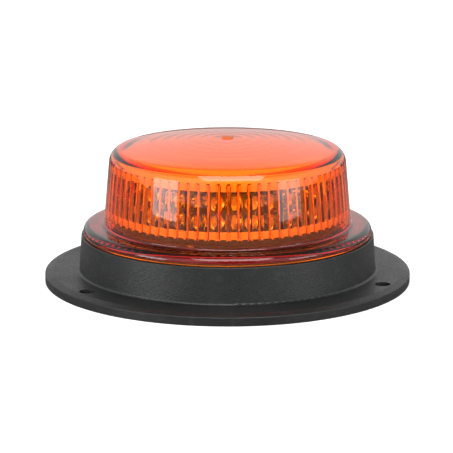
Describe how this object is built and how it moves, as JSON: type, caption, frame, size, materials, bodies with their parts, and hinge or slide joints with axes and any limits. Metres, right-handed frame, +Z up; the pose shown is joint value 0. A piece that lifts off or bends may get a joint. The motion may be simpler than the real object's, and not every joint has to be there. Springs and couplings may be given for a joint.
{
  "type": "led warning beacon",
  "caption": "Low-profile amber warning beacon: fluted lens dome on a round black flanged base that bolts down, with an LED tower inside.",
  "frame": {"origin": "centre of the underside, on the dome's axis", "axes": "+Z up along the dome's axis; one bolt hole lies at +Y, away from the front"},
  "size_m": [0.165, 0.165, 0.0649],
  "materials": {
    "housing_plastic": "black UV-stable polyamide with a fine moulded grain",
    "amber_lens": "transparent amber polycarbonate, polished",
    "seal_rubber": "black EPDM",
    "vent_plastic": "black moulded plug",
    "screw_steel": "zinc-plated steel",
    "circuit_board": "green solder mask on glass-epoxy",
    "spacer_brass": "nickel-free brass",
    "can_aluminium": "sleeved aluminium can",
    "coil_winding": "enamelled copper winding",
    "chip_plastic": "black moulded package",
    "terminal_plastic": "green terminal block",
    "header_plastic": "natural nylon header",
    "tower_aluminium": "machined aluminium",
    "led_board": "black solder mask on an aluminium core board",
    "led_package": "LED package with a phosphor or clear silicone dome",
    "optic_plastic": "transparent moulded collimator",
    "white_reflector": "white reflective plastic"
  },
  "bodies": {
    "root": {"base_housing": "housing_plastic", "base_seal": "seal_rubber", "board_spacers": "spacer_brass", "breather_vent": "vent_plastic", "cable_grommet": "seal_rubber", "capacitors": "can_aluminium", "controller_chip": "chip_plastic", "diodes": "chip_plastic", "driver_board": "circuit_board", "heat_sink_core": "tower_aluminium", "heat_spreader": "tower_aluminium", "led_board_1": "led_board", "led_board_2": "led_board", "led_board_3": "led_board", "led_board_4": "led_board", "led_board_5": "led_board", "led_board_6": "led_board", "led_board_7": "led_board", "led_board_8": "led_board", "led_header": "header_plastic", "led_optic_1": "optic_plastic", "led_optic_2": "optic_plastic", "led_optic_3": "optic_plastic", "led_optic_4": "optic_plastic", "led_optic_5": "optic_plastic", "led_optic_6": "optic_plastic", "led_optic_7": "optic_plastic", "led_optic_8": "optic_plastic", "leds": "led_package", "lens": "amber_lens", "lens_gasket": "seal_rubber", "lens_screws": "screw_steel", "lower_reflector": "white_reflector", "power_coils": "coil_winding", "power_switches": "chip_plastic", "spreader_screws": "screw_steel", "supply_terminal": "terminal_plastic", "tower_bolt": "screw_steel", "tower_cap": "white_reflector", "tower_washer": "screw_steel"}
  },
  "joints": []
}
